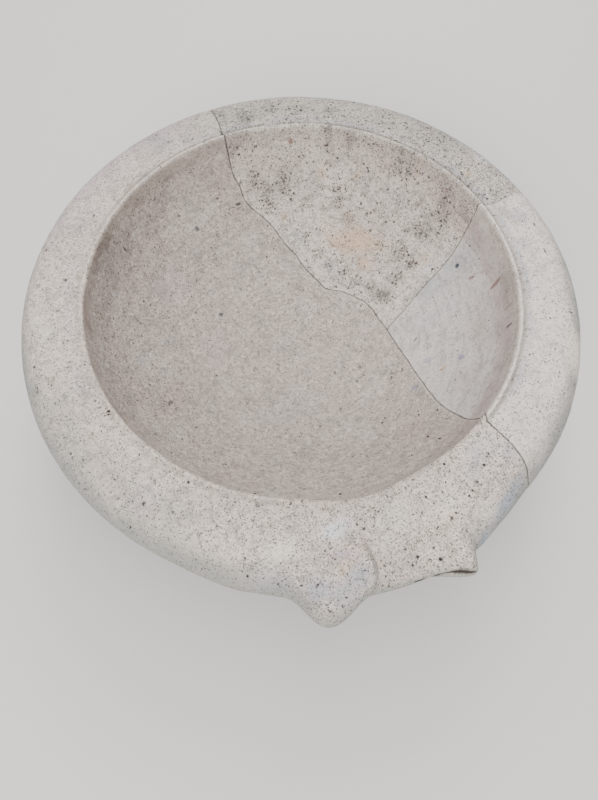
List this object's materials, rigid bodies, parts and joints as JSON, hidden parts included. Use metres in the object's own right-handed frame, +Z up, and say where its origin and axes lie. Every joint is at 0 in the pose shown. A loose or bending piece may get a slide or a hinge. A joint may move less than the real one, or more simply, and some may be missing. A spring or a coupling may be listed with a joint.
{
  "type": "mortarium",
  "caption": "Shallow pottery mixing bowl with a hooked flange, a bead round the mouth and a pulled pouring spout, broken through and rejoined.",
  "frame": {"origin": "centre of the flat base's underside, which is the axis the bowl was turned about", "axes": "+Z up through the open mouth, the spout points along -Y"},
  "size_m": [0.3298, 0.3434, 0.095],
  "materials": {
    "buff_clay": "matt buff fired clay with fine dark specks and small pits",
    "gritty_clay": "matt buff fired clay with dense dark trituration grit inside",
    "pale_clay": "matt pale fired clay, worn smooth"
  },
  "bodies": {
    "root": {"spout_sherd": "buff_clay", "gritty_sherd": "gritty_clay", "smooth_sherd": "pale_clay"}
  },
  "joints": []
}
